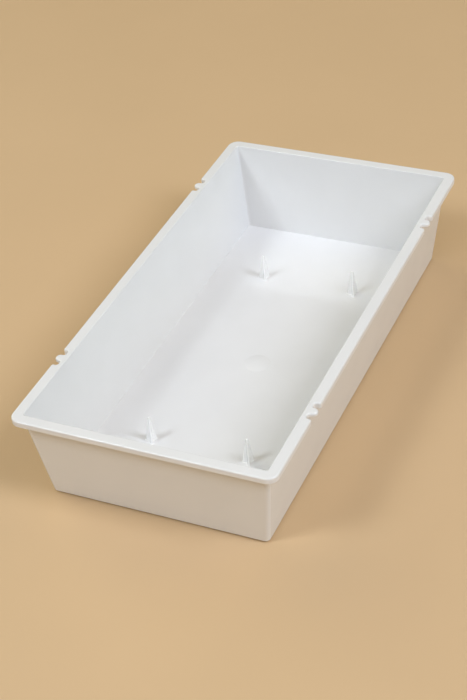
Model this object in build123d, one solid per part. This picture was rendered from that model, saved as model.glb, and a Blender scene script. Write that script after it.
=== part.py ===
"""Moulded plastic tray with an open top, a turned-down rim, four tie pegs and four floor prongs.

The whole tray is one moulding. It is modelled as sections that meet face to face, one named node each.
Millimetres, +Z up, +X across the tray and +Y along it. The origin is at the middle of the base.
"""
from build123d import *
import math
import os

# Tray body
tray_width = 140.0            # across the rim, along X
tray_length = 274.0           # along the rim, along Y
tray_height = 52.4            # from the base to the top of the rim
wall_thickness = 1.2          # square to the leaning walls
floor_thickness = 1.2
wall_draft = 7.2              # degrees that the walls lean outwards
inner_corner_radius = 1.2     # upright corners, inside
base_edge_radius = 1.0        # outer edge that the tray stands on
floor_edge_radius = 0.3       # inner edge between the walls and the floor
wall_foot = 0.9               # how far each wall's foot turns in along the floor

# Rim
land_width = 5.8              # flat top, from the outer edge to the inner wall face
land_thickness = 1.2
lip_depth = 3.4               # how far the rim's outer edge turns down from the top
lip_thickness = 1.2
rim_corner_radius = 6.0       # rim corners, seen from above
rim_edge_radius = 0.9         # top outer edge of the rim
mouth_edge_radius = 0.5       # top inner edge of the rim

# Tie pegs: four places on the long rims, each a round-headed peg between two notches
peg_spacing = 169.6           # between the front and rear pegs, along Y
peg_width = 4.9
peg_reach = 0.9               # how far a peg's head stands out past the rim's edge
peg_thickness = 2.0           # from the top of the rim to a peg's underside
notch_width = 3.5
notch_depth = 3.0             # from the rim's outer edge
notch_bottom_radius = 1.2
notch_mouth_radius = 1.2

# Floor prongs: a pointed upstand of three fins near each corner of the floor
prong_spacing_x = 54.6
prong_spacing_y = 152.4
prong_height = 15.4
prong_foot_reach = 3.3        # from the middle to the edge of a fin, at the floor
prong_tip_reach = 0.7         # the same, at the tip
prong_fin_thickness = 1.4
prong_fin_count = 3
prong_first_fin = 60.0        # degrees from +X

# Gate dome: the low round rise where the plastic was fed into the mould
gate_radius = 7.7
gate_rise = 0.8

# Room past a face for a cut to pass cleanly through it
cut_margin = 10.0
# How near a corner has to be to a place to count as being there
match_distance = 0.01


def flare(height):
    """How far a leaning wall moves outwards over a height."""
    return height * math.tan(math.radians(wall_draft))


wall_across = wall_thickness / math.cos(math.radians(wall_draft))
land_underside = tray_height - land_thickness
floor_half_x = tray_width / 2 - land_width - flare(tray_height - floor_thickness)
floor_half_y = tray_length / 2 - land_width - flare(tray_height - floor_thickness)
base_half_x = floor_half_x - flare(floor_thickness) + wall_across
base_half_y = floor_half_y - flare(floor_thickness) + wall_across
peg_zone_half = peg_width / 2 + notch_width
notch_bottom_x = tray_width / 2 - notch_depth
peg_root_x = notch_bottom_x + notch_bottom_radius
peg_y = peg_spacing / 2
# Half the difference between length and width: the 45 degree corner cuts start this far from the middle
mitre_y = (tray_length - tray_width) / 2
far = tray_length


def box_between(low, high):
    """A box from its lowest corner to its highest corner."""
    size = [b - a for a, b in zip(low, high)]
    return Pos(*low) * Box(*size, align=(Align.MIN, Align.MIN, Align.MIN))


def leaning_block(half_x, half_y, low, high, corner_radius, bottom_radius):
    """A block whose four sides lean outwards, with rounded upright corners and a rounded bottom edge."""
    base = Plane.XY.offset(low) * Rectangle(2 * half_x, 2 * half_y)
    block = extrude(base, amount=high - low, taper=-wall_draft)
    upright_edges = block.edges().group_by(Axis.Z)[1]
    block = fillet(upright_edges, corner_radius)
    return fillet(block.faces().sort_by(Axis.Z)[0].edges(), bottom_radius)


def outer_body():
    """The outside of the tray's walls and base, up to the underside of the rim's flat top."""
    corner_radius = inner_corner_radius + wall_thickness
    return leaning_block(base_half_x, base_half_y, 0, land_underside, corner_radius, base_edge_radius)


def cavity():
    """The space inside the tray, carried on past its top."""
    top = tray_height + cut_margin
    radii = inner_corner_radius, floor_edge_radius
    return leaning_block(floor_half_x, floor_half_y, floor_thickness, top, *radii)


def floor_block():
    """The part of the base between the walls' feet."""
    half_x = floor_half_x - wall_foot
    half_y = floor_half_y - wall_foot
    return box_between((-half_x, -half_y, 0), (half_x, half_y, floor_thickness))


def corner_wedge(side_x, side_y):
    """A tall prism that holds one side of the tray, cut at 45 degrees at its corners."""
    if side_y:
        far_y = side_y * (mitre_y + far)
        points = [(0, side_y * mitre_y), (-far, far_y), (far, far_y)]
    else:
        far_x = side_x * far
        points = [(0, -mitre_y), (far_x, -mitre_y - far), (far_x, mitre_y + far), (0, mitre_y)]
    outline = Polygon(*points, align=None)
    return extrude(Plane.XY.offset(-cut_margin) * outline, tray_height + 2 * cut_margin, dir=(0, 0, 1))


def near(value, place):
    """Whether a measured value is at a place."""
    return abs(value - place) < match_distance


def rim_outline():
    """The rim's outer edge from above, with the notches cut in and the tie pegs' heads standing out."""
    outline = RectangleRounded(tray_width, tray_length, rim_corner_radius)
    head_radius = peg_width / 2
    head_x = tray_width / 2 + peg_reach - head_radius
    for side_x in (-1, 1):
        for side_y in (-1, 1):
            place = Pos(side_x * notch_bottom_x, side_y * peg_y)
            gap_align = (Align.MIN if side_x > 0 else Align.MAX, Align.CENTER)
            outline -= place * Rectangle(notch_depth + cut_margin, 2 * peg_zone_half, align=gap_align)
            shank = Rectangle(head_x - notch_bottom_x, peg_width, align=gap_align)
            outline += place * shank
            outline += Pos(side_x * head_x, side_y * peg_y) * Circle(head_radius)
    bottoms = [corner for corner in outline.vertices() if near(abs(corner.X), notch_bottom_x)]
    outline = fillet(bottoms, notch_bottom_radius)
    edge_corners = [corner for corner in outline.vertices() if near(abs(corner.X), tray_width / 2)]
    mouths = [corner for corner in edge_corners if near(abs(abs(corner.Y) - peg_y), peg_zone_half)]
    return fillet(mouths, notch_mouth_radius)


def rim_channel():
    """The hollow under the rim, between the wall and the turned-down lip, left solid at the tie pegs."""
    width = tray_width - 2 * lip_thickness
    length = tray_length - 2 * lip_thickness
    hollow = RectangleRounded(width, length, rim_corner_radius - lip_thickness)
    for side_x in (-1, 1):
        for side_y in (-1, 1):
            solid_zone = Rectangle(2 * land_width, 2 * (peg_zone_half + lip_thickness))
            hollow -= Pos(side_x * tray_width / 2, side_y * peg_y) * solid_zone
    low = Plane.XY.offset(tray_height - lip_depth - cut_margin)
    return extrude(low * hollow, lip_depth + cut_margin - land_thickness)


def under_pegs():
    """The space beneath the tie pegs, which are thinner than the lip is deep."""
    space = Part()
    low_z = tray_height - lip_depth - cut_margin
    high_z = tray_height - peg_thickness
    half_length = (peg_width + notch_width) / 2
    for side_x in (-1, 1):
        low_x, high_x = sorted((side_x * notch_bottom_x, side_x * tray_width))
        for side_y in (-1, 1):
            low = (low_x, side_y * peg_y - half_length, low_z)
            high = (high_x, side_y * peg_y + half_length, high_z)
            space += box_between(low, high)
    return space


def rim_ring():
    """The whole rim: a flat top with a rounded outer edge, a turned-down lip and the tie pegs."""
    outline = rim_outline()
    ring = extrude(Plane.XY.offset(tray_height - lip_depth) * outline, lip_depth)
    ring = fillet(ring.faces().sort_by(Axis.Z)[-1].edges(), rim_edge_radius)
    ring = ring - outer_body() - cavity() - rim_channel() - under_pegs()
    top = ring.faces().sort_by(Axis.Z)[-1]
    return fillet(top.inner_wires()[0].edges(), mouth_edge_radius)


def gate_dome():
    """A low round cap of even thickness, with the same hollow beneath."""
    top_rise = floor_thickness + gate_rise
    left, right = -gate_radius, gate_radius
    with BuildPart() as dome:
        with BuildSketch(Plane.XZ):
            with BuildLine():
                ThreePointArc((left, 0), (0, gate_rise), (right, 0))
                Line((right, 0), (right, floor_thickness))
                ThreePointArc((right, floor_thickness), (0, top_rise), (left, floor_thickness))
                Line((left, floor_thickness), (left, 0))
            make_face()
            split(bisect_by=Plane.YZ, keep=Keep.TOP)
        revolve(axis=Axis.Z)
    return dome.part


def floor_prong():
    """A pointed upstand of thin fins around its own Z axis, standing on the floor."""
    foot = (prong_foot_reach, 0)
    tip = (prong_tip_reach, prong_height)
    outline = Polygon((0, 0), foot, tip, (0, prong_height), align=None)
    fin = extrude(Plane.XZ * outline, prong_fin_thickness / 2, both=True)
    prong = Part()
    for number in range(prong_fin_count):
        prong += Rot(0, 0, prong_first_fin + 360 / prong_fin_count * number) * fin
    return Pos(0, 0, floor_thickness) * prong


def write(node, shape):
    """Write one node's STEP file, checking that it is one whole solid."""
    solids = shape.solids()
    assert len(solids) == 1, f"{node} has {len(solids)} solids"
    export_step(solids[0], f"parts/{node}.step")
    print(f"{node}: {solids[0].volume:.1f} mm3")


def write_base_and_walls():
    """The floor panel, the gate dome and the four walls."""
    gate_hole = Cylinder(gate_radius, 4 * cut_margin)
    write("floor_panel", floor_block() - gate_hole)
    write("gate_dome", gate_dome())
    shell = outer_body() - cavity() - floor_block()
    for name, side_x, side_y in sides:
        write(f"{name}_wall", shell & corner_wedge(side_x, side_y))


def write_rim():
    """The short rims in one section each, and the long rims cut at their tie pegs."""
    ring = rim_ring()
    for name, side_x, side_y in sides:
        side = ring & corner_wedge(side_x, side_y)
        if side_y:
            write(f"{name}_rim", side)
        else:
            write_long_rim(name, side_x, side)


def write_long_rim(name, side_x, side):
    """One long rim: three plain stretches, and a neck and a peg at each of its two tie pegs."""
    zone_near = peg_y - peg_zone_half
    zone_far = peg_y + peg_zone_half
    write(f"{name}_rim_middle", side & slab_in_y(-zone_near, zone_near))
    for end, side_y in (("front", -1), ("rear", 1)):
        write(f"{name}_rim_{end}", side & slab_in_y(*sorted((side_y * zone_far, side_y * far))))
        zone = side & slab_in_y(*sorted((side_y * zone_near, side_y * zone_far)))
        low = (-peg_root_x, -far, -cut_margin)
        high = (peg_root_x, far, tray_height + cut_margin)
        inside = box_between(low, high)
        write(f"rim_neck_{end}_{name}", zone & inside)
        write(f"tie_peg_{end}_{name}", zone - inside)


def slab_in_y(low, high):
    """Everything between two places along the tray."""
    return box_between((-far, low, -cut_margin), (far, high, tray_height + cut_margin))


def write_prongs():
    """The four floor prongs, all turned the same way."""
    for end, side_y in (("front", -1), ("rear", 1)):
        for name, side_x in (("left", -1), ("right", 1)):
            place = Pos(side_x * prong_spacing_x / 2, side_y * prong_spacing_y / 2, 0)
            write(f"floor_prong_{end}_{name}", place * floor_prong())


sides = (("front", 0, -1), ("rear", 0, 1), ("left", -1, 0), ("right", 1, 0))
os.makedirs("parts", exist_ok=True)
write_base_and_walls()
write_rim()
write_prongs()
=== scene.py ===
"""The looks of a white moulded tray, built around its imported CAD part. Every length is in metres.

The tray is one moulding, so its walls, floor, rim and tie pegs are one closed skin. The four floor prongs
stand on it as pieces of their own.
"""

import math

import bmesh
import bpy
from mathutils import Matrix, Vector


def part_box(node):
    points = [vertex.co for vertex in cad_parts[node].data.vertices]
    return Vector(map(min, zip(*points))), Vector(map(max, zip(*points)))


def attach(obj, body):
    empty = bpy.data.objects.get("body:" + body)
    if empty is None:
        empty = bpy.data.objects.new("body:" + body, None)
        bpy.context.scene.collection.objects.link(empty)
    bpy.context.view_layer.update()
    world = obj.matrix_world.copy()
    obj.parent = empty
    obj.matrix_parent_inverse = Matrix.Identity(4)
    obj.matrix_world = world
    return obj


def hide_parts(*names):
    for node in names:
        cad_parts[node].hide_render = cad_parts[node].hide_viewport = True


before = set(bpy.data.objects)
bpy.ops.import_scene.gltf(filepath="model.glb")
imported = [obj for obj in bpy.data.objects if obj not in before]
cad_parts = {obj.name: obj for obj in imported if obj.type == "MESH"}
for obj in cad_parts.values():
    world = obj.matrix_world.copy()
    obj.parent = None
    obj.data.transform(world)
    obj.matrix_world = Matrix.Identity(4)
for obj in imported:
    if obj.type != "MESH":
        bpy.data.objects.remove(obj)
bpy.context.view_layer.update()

mm = 0.001

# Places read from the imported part
rim_low, rim_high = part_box("front_rim")
gate_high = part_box("gate_dome")[1]
peg_low, peg_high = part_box("tie_peg_rear_right")
half_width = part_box("right_rim_middle")[1].x
half_length = -rim_low.y
rim_top = rim_high.z
lip_bottom = rim_low.z
floor_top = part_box("floor_panel")[1].z
gate_radius = gate_high.x
gate_rise = gate_high.z - floor_top
peg_y = (peg_low.y + peg_high.y) / 2
peg_half = (peg_high.y - peg_low.y) / 2
peg_tip_x = peg_high.x
peg_underside = peg_low.z

# Walls
wall_draft = math.radians(7.2)
wall_thickness = 1.2 * mm
upright_inner_radius = 1.2 * mm
upright_outer_radius = 2.4 * mm
base_edge_radius = 1.0 * mm
floor_edge_radius = 0.3 * mm

# Rim
land_width = 5.8 * mm
land_thickness = 1.2 * mm
lip_thickness = 1.2 * mm
rim_corner_radius = 6.0 * mm
rim_edge_radius = 0.9 * mm
lip_edge_radius = 0.3 * mm
mouth_edge_radius = 0.5 * mm
notch_width = 3.5 * mm
notch_depth = 3.0 * mm
notch_radius = 1.2 * mm

# Floor prongs
fin_count = 3
fin_first_turn = math.radians(60)
fin_foot_reach = 3.3 * mm
fin_tip_reach = 0.7 * mm
fin_foot_thickness = 1.4 * mm
fin_tip_thickness = 0.9 * mm
fin_root_radius = 0.45 * mm
fin_crotch_radius = 0.35 * mm
fin_least_thickness = 0.2 * mm
fin_end_share = 0.45    # the radius of a fin's outer corners, over its thickness
prong_tip_round = 0.3 * mm
tip_shoulder_share = 0.3
tip_inset_share = 0.9

# Mesh
arc_steps = 6
dome_segments = 64
dome_rings = 8
merge_distance = 0.001 * mm
channel_ledge = 0.05 * mm
body = "root"

# Studio. The card lies a little below the base, which darkens the line under the walls.
card_gap = 0.8 * mm
card_half = 1.6
backdrop_radius = 5
backdrop_height = 8
backdrop_segments = 64
light_distance = 2.6
wide_fill = 1.9
low_fill = 1.2
camera_azimuth = 26.9
camera_elevation = 37.3
camera_distance = 0.8725
camera_roll = -5.7


def flare(height):
    """How far a leaning wall moves outwards over a height."""
    return height * math.tan(wall_draft)


mouth_half_x = half_width - land_width
mouth_half_y = half_length - land_width
floor_half_x = mouth_half_x - flare(rim_top - floor_top)
floor_half_y = mouth_half_y - flare(rim_top - floor_top)
wall_across = wall_thickness / math.cos(wall_draft)
base_half_x = floor_half_x - flare(floor_top) + wall_across
base_half_y = floor_half_y - flare(floor_top) + wall_across
notch_bottom_x = half_width - notch_depth
length_over_width = half_length - half_width


# ---------------------------------------------------------------- mesh helpers

def round_off(bm, items, reach, affect):
    """Rounds corners or edges, starting that far back from them."""
    bmesh.ops.bevel(bm, geom=items, offset=reach, offset_type="OFFSET", segments=arc_steps, profile=0.5,
                    affect=affect, material=-1)


def outline_face(bm, corners, height):
    """A flat face from corners (x, y, radius), each corner rounded with an arc of its own radius."""
    others = set(bm.faces)
    verts = [bm.verts.new((x, y, height)) for x, y, _ in corners]
    bm.faces.new(verts)
    reaches = []
    for index, (_, _, radius) in enumerate(corners):
        before = (verts[index - 1].co - verts[index].co).normalized()
        after = (verts[(index + 1) % len(verts)].co - verts[index].co).normalized()
        reaches.append(radius / math.tan(before.angle(after) / 2))
    for vert, reach in zip(verts, reaches):
        if reach:
            round_off(bm, [vert], reach, "VERTICES")
    face = next(face for face in bm.faces if face not in others)
    return list(face.edges), face


def open_outline(bm, corners, height):
    """The edges of such an outline, with nothing filled in."""
    edges, face = outline_face(bm, corners, height)
    bmesh.ops.delete(bm, geom=[face], context="FACES_ONLY")
    return edges


def rounded_path(points):
    """A path through points (outward, height, radius), with its corners rounded to those radii."""
    path = []
    for index, (outward, height, radius) in enumerate(points):
        corner = Vector((outward, height))
        if not radius:
            path.append(corner)
            continue
        before = (Vector(points[index - 1][:2]) - corner).normalized()
        after = (Vector(points[index + 1][:2]) - corner).normalized()
        half_angle = before.angle(after) / 2
        centre = corner + (before + after).normalized() * radius / math.sin(half_angle)
        start = corner + before * radius / math.tan(half_angle) - centre
        end = corner + after * radius / math.tan(half_angle) - centre
        turn = start.angle(end)
        for step in range(arc_steps + 1):
            share = step / arc_steps
            spoke = start * math.sin((1 - share) * turn) + end * math.sin(share * turn)
            path.append(centre + spoke / math.sin(turn))
    return path


def carry_outward(bm, edges, path):
    """Extrudes a closed outline along a path of (outward, height) places. Its corners keep their radii."""
    for here, there in zip(path, path[1:]):
        outward, upward = there - here
        edges = extruded(bm, edges)
        for vert in corners_of(edges):
            side_x = math.copysign(1, vert.co.x)
            side_y = math.copysign(1, vert.co.y)
            bmesh.ops.translate(bm, verts=[vert], vec=(side_x * outward, side_y * outward, upward))
    return edges


def extruded(bm, edges):
    """Extrudes edges in place and returns the new copies of them."""
    grown = bmesh.ops.extrude_edge_only(bm, edges=edges)["geom"]
    verts = {item for item in grown if isinstance(item, bmesh.types.BMVert)}
    return [item for item in grown if isinstance(item, bmesh.types.BMEdge) and verts.issuperset(item.verts)]


def corners_of(edges):
    """The corners that edges run between, each once."""
    return list({vert: None for edge in edges for vert in edge.verts})


def fill_between(bm, edges):
    """Fills the flat space between closed outlines, leaving the inner ones open."""
    bmesh.ops.triangle_fill(bm, use_beauty=True, use_dissolve=False, edges=edges)


def finished_piece(name, bm, material, sharp_angle):
    """Makes the bmesh an object: closed, facing outwards, smooth except at its sharp edges."""
    bmesh.ops.remove_doubles(bm, verts=bm.verts, dist=merge_distance)
    bmesh.ops.dissolve_degenerate(bm, dist=merge_distance, edges=bm.edges)
    bmesh.ops.recalc_face_normals(bm, faces=bm.faces)
    for face in bm.faces:
        face.smooth = True
    mesh = bpy.data.meshes.new(name)
    bm.to_mesh(mesh)
    bm.free()
    mesh.set_sharp_from_angle(angle=sharp_angle)
    mesh.materials.append(material)
    piece = bpy.data.objects.new(name, mesh)
    bpy.context.scene.collection.objects.link(piece)
    flatter = piece.modifiers.new("flat_faces_stay_flat", "WEIGHTED_NORMAL")
    flatter.keep_sharp = True
    flatter.weight = 90
    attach(piece, body)
    return piece


# ---------------------------------------------------------------- the tray's skin

def rounded_rectangle(half_x, half_y, radius):
    """The corners of a rectangle about the origin, counter-clockwise from above."""
    places = (half_x, -half_y), (half_x, half_y), (-half_x, half_y), (-half_x, -half_y)
    return [(x, y, radius) for x, y in places]


def rim_corners(with_pegs):
    """The rim's outer edge from above: a rounded rectangle with notches, and a peg in each if asked for."""
    zone = peg_half + notch_width
    root = peg_half + notch_radius
    right = [(half_width, -half_length, rim_corner_radius)]
    for middle in (-peg_y, peg_y):
        peg = [
            (notch_bottom_x, middle - peg_half, notch_radius),
            (peg_tip_x, middle - peg_half, peg_half),
            (peg_tip_x, middle + peg_half, peg_half),
            (notch_bottom_x, middle + peg_half, notch_radius),
        ]
        no_peg = [(notch_bottom_x, middle - root, 0), (notch_bottom_x, middle + root, 0)]
        right += [
            (half_width, middle - zone, notch_radius),
            (notch_bottom_x, middle - zone, notch_radius),
            *(peg if with_pegs else no_peg),
            (notch_bottom_x, middle + zone, notch_radius),
            (half_width, middle + zone, notch_radius),
        ]
    right.append((half_width, half_length, rim_corner_radius))
    left = [(-x, -y, radius) for x, y, radius in right]
    return right + left


def add_band(bm, corners, low, high, closed_end):
    """An upright band round an outline, with a flat face at one end only."""
    edges, face = outline_face(bm, corners, low)
    rim = extruded(bm, edges)
    bmesh.ops.translate(bm, verts=corners_of(rim), vec=(0, 0, high - low))
    if closed_end == "top":
        bmesh.ops.contextual_create(bm, geom=rim)
        bmesh.ops.delete(bm, geom=[face], context="FACES_ONLY")


def rim_caps(bm):
    """The rim's flat top and bottom, which have the most corners of its faces."""
    return sorted(bm.faces, key=lambda face: -len(face.verts))[:2]


def add_rim(bm):
    """The rim's turned-down outer edge and the pegs. Returns its top and bottom outlines."""
    add_band(bm, rim_corners(with_pegs=False), lip_bottom, peg_underside, "bottom")
    add_band(bm, rim_corners(with_pegs=True), peg_underside, rim_top, "top")
    bmesh.ops.remove_doubles(bm, verts=bm.verts, dist=merge_distance)
    open_edges = [edge for edge in bm.edges if edge.is_boundary]
    undersides = bmesh.ops.contextual_create(bm, geom=open_edges)["faces"]
    heads = [edge for face in undersides for edge in face.edges
             if min(abs(vert.co.x) for vert in edge.verts) > notch_bottom_x + notch_radius]
    round_off(bm, heads, lip_edge_radius, "EDGES")
    for cap in rim_caps(bm):
        is_top = cap.calc_center_median().z > (rim_top + lip_bottom) / 2
        round_off(bm, list(cap.edges), rim_edge_radius if is_top else lip_edge_radius, "EDGES")
    caps = rim_caps(bm)
    outlines = {round(cap.calc_center_median().z, 4): list(cap.edges) for cap in caps}
    bmesh.ops.delete(bm, geom=caps, context="FACES_ONLY")
    return outlines[max(outlines)], outlines[min(outlines)]


def add_domed_panel(bm, edges, height):
    """A flat panel inside an outline, with the low round gate dome in its middle."""
    dome = bmesh.ops.create_circle(bm, cap_ends=False, radius=gate_radius, segments=dome_segments)["verts"]
    bmesh.ops.translate(bm, verts=dome, vec=(0, 0, height))
    ring = list({edge: None for vert in dome for edge in vert.link_edges})
    fill_between(bm, edges + ring)
    sphere_radius = (gate_radius ** 2 + gate_rise ** 2) / (2 * gate_rise)
    radius, rise = gate_radius, 0.0
    for step in range(1, dome_rings):
        new_radius = gate_radius * (1 - step / dome_rings)
        new_rise = math.sqrt(sphere_radius ** 2 - new_radius ** 2) - sphere_radius + gate_rise
        ring = extruded(bm, ring)
        verts = corners_of(ring)
        bmesh.ops.scale(bm, verts=verts, vec=(new_radius / radius, new_radius / radius, 1))
        bmesh.ops.translate(bm, verts=verts, vec=(0, 0, new_rise - rise))
        radius, rise = new_radius, new_rise
    bmesh.ops.contextual_create(bm, geom=ring)


def add_inside(bm):
    """The floor, the inner walls and the rounded mouth. Returns the outline where the rim's flat top begins."""
    path = rounded_path([
        (-2 * floor_edge_radius, floor_top, 0),
        (0, floor_top, floor_edge_radius),
        (flare(rim_top - floor_top), rim_top, mouth_edge_radius),
        (flare(rim_top - floor_top) + mouth_edge_radius, rim_top, 0),
    ])[1:-1]
    start = path[0].x
    corners = rounded_rectangle(floor_half_x + start, floor_half_y + start, upright_inner_radius)
    edges = open_outline(bm, corners, floor_top)
    add_domed_panel(bm, edges, floor_top)
    return carry_outward(bm, edges, path)


def add_outside(bm):
    """The base and the outer walls. Returns the outline where the walls meet the rim's underside."""
    path = rounded_path([
        (-2 * base_edge_radius, 0, 0),
        (0, 0, base_edge_radius),
        (flare(lip_bottom), lip_bottom, 0),
    ])[1:]
    start = path[0].x
    corners = rounded_rectangle(base_half_x + start, base_half_y + start, upright_outer_radius)
    edges = open_outline(bm, corners, 0)
    add_domed_panel(bm, edges, 0)
    return carry_outward(bm, edges, path)


def channel_outlines():
    """The hollows under the rim, from below: one round each end, and one along each side between the pegs."""
    zone = peg_half + notch_width + lip_thickness
    inner_x = base_half_x + flare(lip_bottom) + channel_ledge
    inner_y = inner_x + length_over_width
    outer_x = half_width - lip_thickness
    outer_y = half_length - lip_thickness
    outer_radius = rim_corner_radius - lip_thickness
    outlines = []
    for side in (-1, 1):
        end = [
            (inner_x, -peg_y - zone, 0), (outer_x, -peg_y - zone, 0),
            (outer_x, -outer_y, outer_radius), (-outer_x, -outer_y, outer_radius),
            (-outer_x, -peg_y - zone, 0), (-inner_x, -peg_y - zone, 0),
            (-inner_x, -inner_y, upright_outer_radius), (inner_x, -inner_y, upright_outer_radius),
        ]
        outlines.append([(side * x, side * y, radius) for x, y, radius in end])
        middle = [
            (inner_x, -peg_y + zone, 0), (outer_x, -peg_y + zone, 0),
            (outer_x, peg_y - zone, 0), (inner_x, peg_y - zone, 0),
        ]
        outlines.append([(side * x, side * y, radius) for x, y, radius in middle])
    return outlines


def add_underside(bm, edges):
    """The rim's underside, with its hollows pushed up to the underside of the flat top."""
    depth = rim_top - land_thickness - lip_bottom
    inner_x = base_half_x + flare(lip_bottom) + 2 * channel_ledge
    inner_y = inner_x + length_over_width
    rings = [open_outline(bm, corners, lip_bottom) for corners in channel_outlines()]
    fill_between(bm, edges + [edge for ring in rings for edge in ring])
    for ring in rings:
        top = extruded(bm, ring)
        verts = corners_of(top)
        bmesh.ops.translate(bm, verts=verts, vec=(0, 0, depth))
        for vert in verts:
            if abs(vert.co.x) < inner_x and abs(vert.co.y) < inner_y:
                away = (math.copysign(flare(depth), vert.co.x), 0, 0)
                if abs(vert.co.y) > peg_y + notch_width:
                    away = (away[0], math.copysign(flare(depth), vert.co.y), 0)
                bmesh.ops.translate(bm, verts=[vert], vec=away)
        bmesh.ops.contextual_create(bm, geom=top)


def make_tray(material):
    """The whole moulding but for its prongs, as one closed skin."""
    bm = bmesh.new()
    rim_top_edges, rim_bottom_edges = add_rim(bm)
    mouth_edges = add_inside(bm)
    wall_edges = add_outside(bm)
    fill_between(bm, rim_top_edges + mouth_edges)
    add_underside(bm, rim_bottom_edges + wall_edges)
    return finished_piece("tray_moulding", bm, material, math.radians(35))


# ---------------------------------------------------------------- floor prongs

def star_outline(bm, reach, thickness, height):
    """A star with one round-ended arm for each fin."""
    crotch = thickness / 2 / math.sin(math.pi / fin_count)
    corners = []
    for number in range(fin_count):
        turn = fin_first_turn + math.tau / fin_count * number
        along = Vector((math.cos(turn), math.sin(turn)))
        across = Vector((-along.y, along.x)) * thickness / 2
        gap_turn = turn + math.pi / fin_count
        gap = Vector((math.cos(gap_turn), math.sin(gap_turn))) * crotch
        end_radius = thickness * fin_end_share
        corners += [
            (*(along * reach - across), end_radius),
            (*(along * reach + across), end_radius),
            (*gap, fin_crotch_radius),
        ]
    return open_outline(bm, corners, height)


def make_prong(name, material):
    """A pointed upstand of thin fins, spread at the foot where it runs into the floor."""
    low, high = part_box(name)
    height = high.z - floor_top
    bm = bmesh.new()
    stations = []
    for step in range(arc_steps + 1):
        rise = fin_root_radius * (1 - math.cos(math.pi / 2 * step / arc_steps))
        spread = fin_root_radius * (1 - math.sin(math.pi / 2 * step / arc_steps))
        stations.append((rise, spread))
    shoulder = prong_tip_round * tip_shoulder_share
    stations += [
        (height - prong_tip_round, 0),
        (height - shoulder, -shoulder),
        (height, -prong_tip_round * tip_inset_share),
    ]
    rings = []
    for rise, spread in stations:
        share = rise / height
        reach = fin_foot_reach + (fin_tip_reach - fin_foot_reach) * share
        thickness = fin_foot_thickness + (fin_tip_thickness - fin_foot_thickness) * share
        thickness = max(thickness + 2 * spread, fin_least_thickness)
        rings.append(star_outline(bm, reach + spread, thickness, floor_top + rise))
    for lower, upper in zip(rings, rings[1:]):
        bmesh.ops.bridge_loops(bm, edges=lower + upper)
    bmesh.ops.contextual_create(bm, geom=rings[-1])
    bmesh.ops.contextual_create(bm, geom=rings[0])
    # The fins' own box isn't centred on the prong's axis across the tray
    star = [math.cos(fin_first_turn + math.tau / fin_count * number) for number in range(fin_count)]
    axis_x = low.x - min(star) * fin_foot_reach
    bmesh.ops.translate(bm, verts=bm.verts, vec=(axis_x, (low.y + high.y) / 2, 0))
    piece = finished_piece("prong_" + name.removeprefix("floor_prong_"), bm, material, math.radians(50))
    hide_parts(name)
    return piece


# ---------------------------------------------------------------- materials

def new_material(name):
    """A material with its node tree, its main shader and the object's own coordinates."""
    material = bpy.data.materials.new(name)
    material.use_nodes = True
    nodes = material.node_tree.nodes
    shader = nodes["Principled BSDF"]
    place = nodes.new("ShaderNodeTexCoord")
    return material, nodes, material.node_tree.links, shader, place


def add_noise(nodes, links, place, scale, detail):
    """Noise of that scale over the object's own coordinates."""
    noise = nodes.new("ShaderNodeTexNoise")
    noise.inputs["Scale"].default_value = scale
    noise.inputs["Detail"].default_value = detail
    links.new(place.outputs["Object"], noise.inputs["Vector"])
    return noise.outputs["Fac"]


def add_tone(nodes, links, shader, noise, positions, colours):
    """Blends the shader's colour from one tone to another as the noise rises."""
    blend = nodes.new("ShaderNodeValToRGB")
    for stop, position, colour in zip(blend.color_ramp.elements, positions, colours):
        stop.position = position
        stop.color = (*colour, 1)
    links.new(noise, blend.inputs["Fac"])
    links.new(blend.outputs["Color"], shader.inputs["Base Color"])


def white_plastic(name, darkest, lightest):
    """Glossy injection-moulded plastic, slightly uneven in tone and gloss, with faint flow ripples."""
    material, nodes, links, shader, place = new_material(name)
    shader.inputs["IOR"].default_value = 1.5

    tone = add_noise(nodes, links, place, scale=30, detail=2)
    add_tone(nodes, links, shader, tone, (0.35, 0.65), (darkest, lightest))

    gloss = add_noise(nodes, links, place, scale=220, detail=5)
    roughness = nodes.new("ShaderNodeMapRange")
    roughness.inputs["From Min"].default_value = 0.3
    roughness.inputs["From Max"].default_value = 0.7
    roughness.inputs["To Min"].default_value = 0.08
    roughness.inputs["To Max"].default_value = 0.15
    links.new(gloss, roughness.inputs["Value"])
    links.new(roughness.outputs["Result"], shader.inputs["Roughness"])

    ripple = add_noise(nodes, links, place, scale=45, detail=1)
    bump = nodes.new("ShaderNodeBump")
    bump.inputs["Strength"].default_value = 0.15
    bump.inputs["Distance"].default_value = 0.0004
    links.new(ripple, bump.inputs["Height"])
    links.new(bump.outputs["Normal"], shader.inputs["Normal"])
    return material


def sand_card():
    """Plain matt card in a pale warm sand colour."""
    material, nodes, links, shader, place = new_material("sand_card")
    shader.inputs["Roughness"].default_value = 0.75
    shader.inputs["Specular IOR Level"].default_value = 0.3
    tone = add_noise(nodes, links, place, scale=9, detail=6)
    add_tone(nodes, links, shader, tone, (0.3, 0.7), ((0.65, 0.463, 0.27), (0.67, 0.477, 0.28)))
    return material


# ---------------------------------------------------------------- studio

def direction(azimuth, elevation):
    """The unit vector from the tray towards something seen at that azimuth (from -Y, towards +X) and height."""
    azimuth, elevation = math.radians(azimuth), math.radians(elevation)
    level = math.cos(elevation)
    return Vector((math.sin(azimuth) * level, -math.cos(azimuth) * level, math.sin(elevation)))


def facing(back, roll):
    """The turn of a camera or light that looks along -back, rolled about that line."""
    right = Vector((-back.y, back.x, 0)).normalized()
    up = back.cross(right)
    return Matrix((right, up, back)).transposed() @ Matrix.Rotation(math.radians(roll), 3, "Z")


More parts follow.
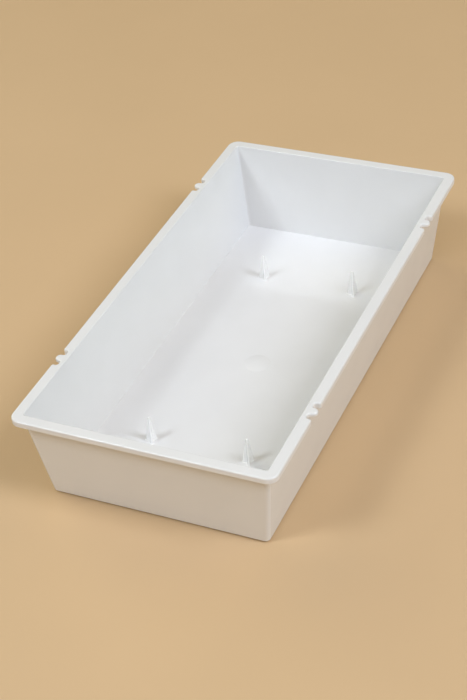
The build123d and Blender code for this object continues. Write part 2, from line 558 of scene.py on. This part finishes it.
def add_camera():
    """The camera, three quarters from the front and above."""
    camera = bpy.data.cameras.new("camera")
    camera.lens = 85.3
    camera.sensor_width = 36
    camera.clip_start = 0.01
    aim = Vector((-2.3, -22.3, 26.2)) * mm
    back = direction(camera_azimuth, camera_elevation)
    holder = bpy.data.objects.new("camera", camera)
    place = Matrix.Translation(aim + back * camera_distance)
    holder.matrix_world = place @ facing(back, camera_roll).to_4x4()
    bpy.context.scene.collection.objects.link(holder)
    bpy.context.scene.camera = holder


def add_softbox(name, azimuth, elevation, width, height, power, colour):
    """A rectangular soft light that faces the tray."""
    light = bpy.data.lights.new(name, "AREA")
    light.shape = "RECTANGLE"
    light.size = width
    light.size_y = height
    light.energy = power
    light.color = colour
    back = direction(azimuth, elevation)
    holder = bpy.data.objects.new(name, light)
    holder.matrix_world = Matrix.Translation(back * light_distance) @ facing(back, 0).to_4x4()
    bpy.context.scene.collection.objects.link(holder)


def add_floor():
    """The card that the tray stands on."""
    bm = bmesh.new()
    bmesh.ops.create_grid(bm, x_segments=8, y_segments=8, size=card_half)
    mesh = bpy.data.meshes.new("floor")
    bm.to_mesh(mesh)
    bm.free()
    mesh.materials.append(sand_card())
    mesh.transform(Matrix.Translation((0, 0, -card_gap)))
    floor = bpy.data.objects.new("floor", mesh)
    bpy.context.scene.collection.objects.link(floor)


def add_backdrop():
    """A plain wall all round, past the card's edge. Only the camera sees it, so it doesn't light the tray."""
    material, _, _, shader, _ = new_material("backdrop_wall")
    shader.inputs["Base Color"].default_value = (0, 0, 0, 1)
    shader.inputs["Specular IOR Level"].default_value = 0
    shader.inputs["Emission Color"].default_value = (0.57, 0.415, 0.245, 1)
    shader.inputs["Emission Strength"].default_value = 1
    bm = bmesh.new()
    bmesh.ops.create_cone(bm, cap_ends=False, segments=backdrop_segments, radius1=backdrop_radius,
                          radius2=backdrop_radius, depth=backdrop_height)
    mesh = bpy.data.meshes.new("backdrop")
    bm.to_mesh(mesh)
    bm.free()
    mesh.materials.append(material)
    wall = bpy.data.objects.new("backdrop", mesh)
    wall.visible_diffuse = False
    wall.visible_glossy = False
    wall.visible_transmission = False
    wall.visible_shadow = False
    bpy.context.scene.collection.objects.link(wall)


def add_room_light():
    """The even, weak light of the room."""
    world = bpy.data.worlds.new("room")
    world.use_nodes = True
    world.node_tree.nodes["Background"].inputs["Color"].default_value = (1, 1, 1, 1)
    world.node_tree.nodes["Background"].inputs["Strength"].default_value = 0.04
    bpy.context.scene.world = world


tray = make_tray(white_plastic("white_plastic", (0.83, 0.84, 0.85), (0.85, 0.86, 0.87)))
prongs = [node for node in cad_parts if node.startswith("floor_prong_")]
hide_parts(*[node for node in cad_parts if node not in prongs])
# The fins are thin enough to let light through; that light is painted into their colour as a whiter tone than
# the walls
fin_plastic_painted_light = white_plastic("white_plastic_fins_painted_light", (0.94, 0.95, 0.96), (0.96, 0.97, 0.98))
for node in sorted(prongs):
    make_prong(node, fin_plastic_painted_light)

add_floor()
add_backdrop()
add_room_light()
add_softbox("key_light", 79, 47, 0.65, 1.0, 30.7, (0.85, 0.89, 1))
add_softbox("second_light", -37, 47, 0.65, 0.8, 22.3, (0.87, 0.94, 1))
add_softbox("top_fill", 27, 60, wide_fill, wide_fill, 16.5, (1, 0.93, 0.88))
add_softbox("rear_fill", 130, 40, wide_fill, wide_fill, 9.4, (1, 0.8, 0.4))
add_softbox("left_high_fill", -110, 45, wide_fill, wide_fill, 9.1, (1, 0.76, 0.36))
add_softbox("left_low_fill", -110, 20, wide_fill, wide_fill, 17.7, (0.94, 1, 0.84))
add_softbox("right_low_fill", 90, 15, low_fill, low_fill, 5.9, (0.64, 0.9, 1))
add_softbox("front_low_fill", 0, 12, low_fill, low_fill, 4.1, (1, 0.84, 0.6))
add_camera()
bpy.context.scene.view_settings.view_transform = "Standard"
